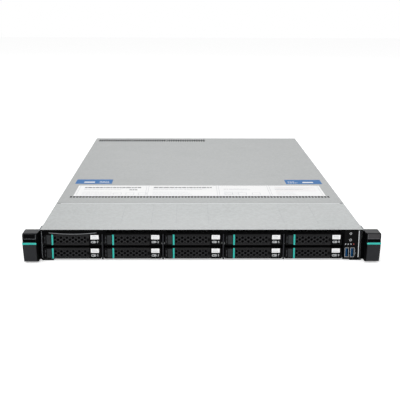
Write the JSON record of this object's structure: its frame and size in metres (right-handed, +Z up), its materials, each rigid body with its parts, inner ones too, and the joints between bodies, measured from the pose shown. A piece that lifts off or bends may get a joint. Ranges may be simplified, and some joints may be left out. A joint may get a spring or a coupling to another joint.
{
  "type": "1u rack server",
  "caption": "Flat rack server with latched drive trays and a control panel in front, rack ears, a lift-off cover, fans inside and plug-in power supplies behind.",
  "frame": {"origin": "underside of the base, midway across, in the plane where the ears' rear faces meet the rack posts", "axes": "+X to the right as seen from the front, +Y to the rear, +Z up"},
  "size_m": [0.4826, 0.777, 0.0432],
  "materials": {
    "zinc_steel": "satin galvanised sheet",
    "cover_steel": "fine satin plated sheet",
    "black_steel": "matt black powder coat",
    "board_green": "solder-masked board",
    "black_plastic": "moulded, fine grain",
    "gloss_black": "polished moulding",
    "grey_plastic": "moulded, fine grain",
    "lever_plastic": "moulded, fine grain",
    "aluminium": "extruded",
    "port_metal": "nickel plated",
    "cable_black": "woven sleeve",
    "memory": "board with heat spreader",
    "psu_steel": "satin plated sheet",
    "latch_green": "moulded",
    "clear_grey": "thin satin card"
  },
  "bodies": {
    "chassis": {"chassis_tray": "zinc_steel", "front_cover": "cover_steel", "drive_cage": "black_steel", "backplane": "board_green", "fan_frames": "black_plastic", "motherboard": "board_green", "memory_modules": "memory", "heat_sinks": "aluminium", "air_shroud": "grey_plastic", "data_cables": "cable_black", "rear_wall": "zinc_steel", "io_ports": "port_metal", "control_panel": "black_plastic", "left_ear": "black_plastic", "right_ear": "black_plastic"},
    "top_cover": {"top_cover": "cover_steel"},
    "information_tag": {"information_tag": "clear_grey"},
    "drive_tray_1": {"drive_tray_1": "black_plastic"},
    "latch_lever_1": {"latch_lever_1": "lever_plastic"},
    "release_button_1": {"release_button_1": "grey_plastic"},
    "drive_tray_3": {"drive_tray_3": "black_plastic"},
    "latch_lever_3": {"latch_lever_3": "lever_plastic"},
    "release_button_3": {"release_button_3": "grey_plastic"},
    "drive_tray_5": {"drive_tray_5": "black_plastic"},
    "latch_lever_5": {"latch_lever_5": "lever_plastic"},
    "release_button_5": {"release_button_5": "grey_plastic"},
    "drive_tray_7": {"drive_tray_7": "black_plastic"},
    "latch_lever_7": {"latch_lever_7": "lever_plastic"},
    "release_button_7": {"release_button_7": "grey_plastic"},
    "drive_tray_9": {"drive_tray_9": "black_plastic"},
    "latch_lever_9": {"latch_lever_9": "lever_plastic"},
    "release_button_9": {"release_button_9": "grey_plastic"},
    "drive_tray_0": {"drive_tray_0": "black_plastic"},
    "latch_lever_0": {"latch_lever_0": "lever_plastic"},
    "release_button_0": {"release_button_0": "grey_plastic"},
    "drive_tray_2": {"drive_tray_2": "black_plastic"},
    "latch_lever_2": {"latch_lever_2": "lever_plastic"},
    "release_button_2": {"release_button_2": "grey_plastic"},
    "drive_tray_4": {"drive_tray_4": "black_plastic"},
    "latch_lever_4": {"latch_lever_4": "lever_plastic"},
    "release_button_4": {"release_button_4": "grey_plastic"},
    "drive_tray_6": {"drive_tray_6": "black_plastic"},
    "latch_lever_6": {"latch_lever_6": "lever_plastic"},
    "release_button_6": {"release_button_6": "grey_plastic"},
    "drive_tray_8": {"drive_tray_8": "black_plastic"},
    "latch_lever_8": {"latch_lever_8": "lever_plastic"},
    "release_button_8": {"release_button_8": "grey_plastic"},
    "left_latch": {"left_latch": "gloss_black"},
    "right_latch": {"right_latch": "gloss_black"},
    "power_button": {"power_button": "black_plastic"},
    "identify_button": {"identify_button": "black_plastic"},
    "power_supply_0": {"power_supply_0": "psu_steel"},
    "supply_latch_0": {"supply_latch_0": "latch_green"},
    "power_supply_1": {"power_supply_1": "psu_steel"},
    "supply_latch_1": {"supply_latch_1": "latch_green"},
    "fan_rotor_0": {"fan_rotor_0": "black_plastic"},
    "fan_rotor_1": {"fan_rotor_1": "black_plastic"},
    "fan_rotor_2": {"fan_rotor_2": "black_plastic"},
    "fan_rotor_3": {"fan_rotor_3": "black_plastic"},
    "fan_rotor_4": {"fan_rotor_4": "black_plastic"}
  },
  "joints": [
    {"name": "top_cover_lift", "type": "slide", "parent": "chassis", "child": "top_cover", "axis": [0, 0, 1], "range_m": [0, 0.12]},
    {"name": "information_tag_pull", "type": "slide", "parent": "chassis", "child": "information_tag", "axis": [0, -1, 0], "range_m": [0, 0.045]},
    {"name": "drive_tray_1_slide", "type": "slide", "parent": "chassis", "child": "drive_tray_1", "axis": [0, -1, 0], "range_m": [0, 0.14]},
    {"name": "latch_lever_1_hinge", "type": "hinge", "parent": "drive_tray_1", "child": "latch_lever_1", "pos_m": [-0.1546, -0.006, 0.00955], "axis": [0, 0, 1], "range_deg": [0, 65]},
    {"name": "release_button_1_press", "type": "slide", "parent": "drive_tray_1", "child": "release_button_1", "axis": [0, 1, 0], "range_m": [0, 0.002], "stiffness_N_per_m": 400},
    {"name": "drive_tray_3_slide", "type": "slide", "parent": "chassis", "child": "drive_tray_3", "axis": [0, -1, 0], "range_m": [0, 0.14]},
    {"name": "latch_lever_3_hinge", "type": "hinge", "parent": "drive_tray_3", "child": "latch_lever_3", "pos_m": [-0.0724, -0.006, 0.00955], "axis": [0, 0, 1], "range_deg": [0, 65]},
    {"name": "release_button_3_press", "type": "slide", "parent": "drive_tray_3", "child": "release_button_3", "axis": [0, 1, 0], "range_m": [0, 0.002], "stiffness_N_per_m": 400},
    {"name": "drive_tray_5_slide", "type": "slide", "parent": "chassis", "child": "drive_tray_5", "axis": [0, -1, 0], "range_m": [0, 0.14]},
    {"name": "latch_lever_5_hinge", "type": "hinge", "parent": "drive_tray_5", "child": "latch_lever_5", "pos_m": [0.0098, -0.006, 0.00955], "axis": [0, 0, 1], "range_deg": [0, 65]},
    {"name": "release_button_5_press", "type": "slide", "parent": "drive_tray_5", "child": "release_button_5", "axis": [0, 1, 0], "range_m": [0, 0.002], "stiffness_N_per_m": 400},
    {"name": "drive_tray_7_slide", "type": "slide", "parent": "chassis", "child": "drive_tray_7", "axis": [0, -1, 0], "range_m": [0, 0.14]},
    {"name": "latch_lever_7_hinge", "type": "hinge", "parent": "drive_tray_7", "child": "latch_lever_7", "pos_m": [0.092, -0.006, 0.00955], "axis": [0, 0, 1], "range_deg": [0, 65]},
    {"name": "release_button_7_press", "type": "slide", "parent": "drive_tray_7", "child": "release_button_7", "axis": [0, 1, 0], "range_m": [0, 0.002], "stiffness_N_per_m": 400},
    {"name": "drive_tray_9_slide", "type": "slide", "parent": "chassis", "child": "drive_tray_9", "axis": [0, -1, 0], "range_m": [0, 0.14]},
    {"name": "latch_lever_9_hinge", "type": "hinge", "parent": "drive_tray_9", "child": "latch_lever_9", "pos_m": [0.1742, -0.006, 0.00955], "axis": [0, 0, 1], "range_deg": [0, 65]},
    {"name": "release_button_9_press", "type": "slide", "parent": "drive_tray_9", "child": "release_button_9", "axis": [0, 1, 0], "range_m": [0, 0.002], "stiffness_N_per_m": 400},
    {"name": "drive_tray_0_slide", "type": "slide", "parent": "chassis", "child": "drive_tray_0", "axis": [0, -1, 0], "range_m": [0, 0.14]},
    {"name": "latch_lever_0_hinge", "type": "hinge", "parent": "drive_tray_0", "child": "latch_lever_0", "pos_m": [-0.1546, -0.006, 0.02865], "axis": [0, 0, 1], "range_deg": [0, 65]},
    {"name": "release_button_0_press", "type": "slide", "parent": "drive_tray_0", "child": "release_button_0", "axis": [0, 1, 0], "range_m": [0, 0.002], "stiffness_N_per_m": 400},
    {"name": "drive_tray_2_slide", "type": "slide", "parent": "chassis", "child": "drive_tray_2", "axis": [0, -1, 0], "range_m": [0, 0.14]},
    {"name": "latch_lever_2_hinge", "type": "hinge", "parent": "drive_tray_2", "child": "latch_lever_2", "pos_m": [-0.0724, -0.006, 0.02865], "axis": [0, 0, 1], "range_deg": [0, 65]},
    {"name": "release_button_2_press", "type": "slide", "parent": "drive_tray_2", "child": "release_button_2", "axis": [0, 1, 0], "range_m": [0, 0.002], "stiffness_N_per_m": 400},
    {"name": "drive_tray_4_slide", "type": "slide", "parent": "chassis", "child": "drive_tray_4", "axis": [0, -1, 0], "range_m": [0, 0.14]},
    {"name": "latch_lever_4_hinge", "type": "hinge", "parent": "drive_tray_4", "child": "latch_lever_4", "pos_m": [0.0098, -0.006, 0.02865], "axis": [0, 0, 1], "range_deg": [0, 65]},
    {"name": "release_button_4_press", "type": "slide", "parent": "drive_tray_4", "child": "release_button_4", "axis": [0, 1, 0], "range_m": [0, 0.002], "stiffness_N_per_m": 400},
    {"name": "drive_tray_6_slide", "type": "slide", "parent": "chassis", "child": "drive_tray_6", "axis": [0, -1, 0], "range_m": [0, 0.14]},
    {"name": "latch_lever_6_hinge", "type": "hinge", "parent": "drive_tray_6", "child": "latch_lever_6", "pos_m": [0.092, -0.006, 0.02865], "axis": [0, 0, 1], "range_deg": [0, 65]},
    {"name": "release_button_6_press", "type": "slide", "parent": "drive_tray_6", "child": "release_button_6", "axis": [0, 1, 0], "range_m": [0, 0.002], "stiffness_N_per_m": 400},
    {"name": "drive_tray_8_slide", "type": "slide", "parent": "chassis", "child": "drive_tray_8", "axis": [0, -1, 0], "range_m": [0, 0.14]},
    {"name": "latch_lever_8_hinge", "type": "hinge", "parent": "drive_tray_8", "child": "latch_lever_8", "pos_m": [0.1742, -0.006, 0.02865], "axis": [0, 0, 1], "range_deg": [0, 65]},
    {"name": "release_button_8_press", "type": "slide", "parent": "drive_tray_8", "child": "release_button_8", "axis": [0, 1, 0], "range_m": [0, 0.002], "stiffness_N_per_m": 400},
    {"name": "left_latch_press", "type": "slide", "parent": "chassis", "child": "left_latch", "axis": [0, 1, 0], "range_m": [0, 0.003], "stiffness_N_per_m": 400},
    {"name": "right_latch_press", "type": "slide", "parent": "chassis", "child": "right_latch", "axis": [0, 1, 0], "range_m": [0, 0.003], "stiffness_N_per_m": 400},
    {"name": "power_button_press", "type": "slide", "parent": "chassis", "child": "power_button", "axis": [0, 1, 0], "range_m": [0, 0.001], "stiffness_N_per_m": 600},
    {"name": "identify_button_press", "type": "slide", "parent": "chassis", "child": "identify_button", "axis": [0, 1, 0], "range_m": [0, 0.001], "stiffness_N_per_m": 600},
    {"name": "power_supply_0_slide", "type": "slide", "parent": "chassis", "child": "power_supply_0", "axis": [0, 1, 0], "range_m": [0, 0.195]},
    {"name": "supply_latch_0_hinge", "type": "hinge", "parent": "power_supply_0", "child": "supply_latch_0", "pos_m": [-0.179, 0.7342, 0.0319], "axis": [0, 0, 1], "range_deg": [0, 7], "stiffness_Nm_per_rad": 0.04},
    {"name": "power_supply_1_slide", "type": "slide", "parent": "chassis", "child": "power_supply_1", "axis": [0, 1, 0], "range_m": [0, 0.195]},
    {"name": "supply_latch_1_hinge", "type": "hinge", "parent": "power_supply_1", "child": "supply_latch_1", "pos_m": [-0.1039, 0.7342, 0.0319], "axis": [0, 0, 1], "range_deg": [0, 7], "stiffness_Nm_per_rad": 0.04},
    {"name": "fan_rotor_0_spin", "type": "hinge", "parent": "chassis", "child": "fan_rotor_0", "pos_m": [-0.0322, 0.3288, 0.0215], "axis": [0, 1, 0], "continuous": true},
    {"name": "fan_rotor_1_spin", "type": "hinge", "parent": "chassis", "child": "fan_rotor_1", "pos_m": [0.0218, 0.3288, 0.0215], "axis": [0, 1, 0], "continuous": true},
    {"name": "fan_rotor_2_spin", "type": "hinge", "parent": "chassis", "child": "fan_rotor_2", "pos_m": [0.0758, 0.3288, 0.0215], "axis": [0, 1, 0], "continuous": true},
    {"name": "fan_rotor_3_spin", "type": "hinge", "parent": "chassis", "child": "fan_rotor_3", "pos_m": [0.1298, 0.3288, 0.0215], "axis": [0, 1, 0], "continuous": true},
    {"name": "fan_rotor_4_spin", "type": "hinge", "parent": "chassis", "child": "fan_rotor_4", "pos_m": [0.1838, 0.3288, 0.0215], "axis": [0, 1, 0], "continuous": true}
  ]
}
